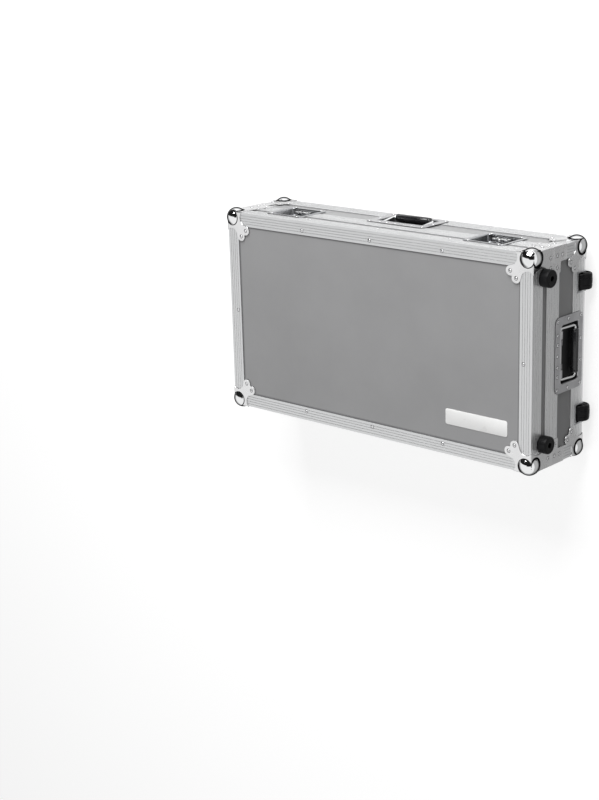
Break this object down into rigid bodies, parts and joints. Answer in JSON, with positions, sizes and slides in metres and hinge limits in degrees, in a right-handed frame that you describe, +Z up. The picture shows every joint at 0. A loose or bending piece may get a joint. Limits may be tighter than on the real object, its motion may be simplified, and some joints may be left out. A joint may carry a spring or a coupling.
{
  "type": "pedalboard flight case",
  "caption": "Shallow hinged-lid flight case with ribbed metal edging, ball corners, recessed butterfly latches, sprung handles, end wheels and rubber feet.",
  "frame": {"origin": "middle of the bounding box, on the surface that the floor feet stand on", "axes": "+X along the case from the wheel end to the plain handle end, -Y at the latches, +Y at the hinges, +Z up through the lid"},
  "size_m": [0.91, 0.5, 0.229],
  "materials": {
    "laminate": "grey laminate on plywood, fine grain",
    "aluminium": "satin ribbed sections",
    "bright_steel": "bright plated",
    "zinc_steel": "zinc plated, satin",
    "rubber": "moulded, matt",
    "foam": "soft open foam",
    "plate_white": "bare, smooth"
  },
  "bodies": {
    "base": {"base_floor": "laminate", "base_front_panel": "laminate", "base_rear_panel": "laminate", "base_wheel_end_panel": "laminate", "base_handle_end_panel": "laminate", "base_bottom_edging": "aluminium", "base_corner_edging": "aluminium", "base_rim_edging": "aluminium", "base_ball_corners": "bright_steel", "base_corner_braces": "bright_steel", "base_rivets": "bright_steel", "base_floor_pad": "foam", "base_wall_pads": "foam", "floor_feet": "rubber", "floor_foot_screws": "zinc_steel", "front_wheel_housing": "zinc_steel", "rear_wheel_housing": "zinc_steel", "wheel_axles": "zinc_steel", "left_latch_base_dish": "zinc_steel", "right_latch_base_dish": "zinc_steel", "latch_claw_pins": "zinc_steel", "front_handle_dish": "zinc_steel", "wheel_end_handle_dish": "zinc_steel", "handle_end_handle_dish": "zinc_steel", "handle_springs": "zinc_steel", "hinge_base_leaves": "zinc_steel", "hinge_pins": "zinc_steel"},
    "lid": {"lid_top_panel": "laminate", "lid_side_panels": "laminate", "lid_top_edging": "aluminium", "lid_corner_edging": "aluminium", "lid_rim_edging": "aluminium", "lid_ball_corners": "bright_steel", "lid_rivets": "bright_steel", "lid_pad": "foam", "left_latch_lid_dish": "zinc_steel", "right_latch_lid_dish": "zinc_steel", "latch_keepers": "zinc_steel", "end_feet": "rubber", "end_foot_screws": "zinc_steel", "name_plate": "plate_white", "hinge_lid_leaves": "zinc_steel"},
    "left_latch_rotor": {"left_latch_rotor": "zinc_steel", "left_latch_wing_pin": "zinc_steel"},
    "right_latch_rotor": {"right_latch_rotor": "zinc_steel", "right_latch_wing_pin": "zinc_steel"},
    "left_latch_wing": {"left_latch_wing": "bright_steel"},
    "right_latch_wing": {"right_latch_wing": "bright_steel"},
    "left_latch_claw": {"left_latch_claw": "zinc_steel"},
    "right_latch_claw": {"right_latch_claw": "zinc_steel"},
    "front_handle": {"front_handle_bail": "bright_steel", "front_handle_grip": "rubber"},
    "wheel_end_handle": {"wheel_end_handle_bail": "bright_steel", "wheel_end_handle_grip": "rubber"},
    "handle_end_handle": {"handle_end_handle_bail": "bright_steel", "handle_end_handle_grip": "rubber"},
    "front_wheel": {"front_wheel": "rubber"},
    "rear_wheel": {"rear_wheel": "rubber"}
  },
  "joints": [
    {"name": "lid_hinge", "type": "hinge", "parent": "base", "child": "lid", "pos_m": [0.006, 0.245, 0.146], "axis": [-1, 0, 0], "range_deg": [0, 105]},
    {"name": "left_latch_turn", "type": "hinge", "parent": "base", "child": "left_latch_rotor", "pos_m": [-0.282, -0.236, 0.132], "axis": [0, -1, 0], "range_deg": [0, 180]},
    {"name": "left_latch_wing_fold", "type": "hinge", "parent": "left_latch_rotor", "child": "left_latch_wing", "pos_m": [-0.282, -0.2376, 0.132], "axis": [-1, 0, 0], "range_deg": [0, 90]},
    {"name": "left_latch_claw_swing", "type": "hinge", "parent": "base", "child": "left_latch_claw", "pos_m": [-0.282, -0.2278, 0.115], "axis": [-1, 0, 0], "range_deg": [0, 6]},
    {"name": "right_latch_turn", "type": "hinge", "parent": "base", "child": "right_latch_rotor", "pos_m": [0.294, -0.236, 0.132], "axis": [0, -1, 0], "range_deg": [0, 180]},
    {"name": "right_latch_wing_fold", "type": "hinge", "parent": "right_latch_rotor", "child": "right_latch_wing", "pos_m": [0.294, -0.2376, 0.132], "axis": [-1, 0, 0], "range_deg": [0, 90]},
    {"name": "right_latch_claw_swing", "type": "hinge", "parent": "base", "child": "right_latch_claw", "pos_m": [0.294, -0.2278, 0.115], "axis": [-1, 0, 0], "range_deg": [0, 6]},
    {"name": "front_handle_lift", "type": "hinge", "parent": "base", "child": "front_handle", "pos_m": [0.006, -0.236, 0.108], "axis": [-1, 0, 0], "range_deg": [0, 70], "stiffness_Nm_per_rad": 0.15},
    {"name": "wheel_end_handle_lift", "type": "hinge", "parent": "base", "child": "wheel_end_handle", "pos_m": [-0.429, -0.001, 0.108], "axis": [0, 1, 0], "range_deg": [0, 70], "stiffness_Nm_per_rad": 0.15},
    {"name": "handle_end_handle_lift", "type": "hinge", "parent": "base", "child": "handle_end_handle", "pos_m": [0.441, -0.001, 0.108], "axis": [0, -1, 0], "range_deg": [0, 70], "stiffness_Nm_per_rad": 0.15},
    {"name": "front_wheel_spin", "type": "hinge", "parent": "base", "child": "front_wheel", "pos_m": [-0.427, -0.149, 0.0255], "axis": [0, 1, 0], "continuous": true},
    {"name": "rear_wheel_spin", "type": "hinge", "parent": "base", "child": "rear_wheel", "pos_m": [-0.427, 0.147, 0.0255], "axis": [0, 1, 0], "continuous": true}
  ],
  "couplings": [
    {"joint": "left_latch_claw_swing", "follows": "left_latch_turn", "ratio": 0.0333},
    {"joint": "right_latch_claw_swing", "follows": "right_latch_turn", "ratio": 0.0333}
  ]
}
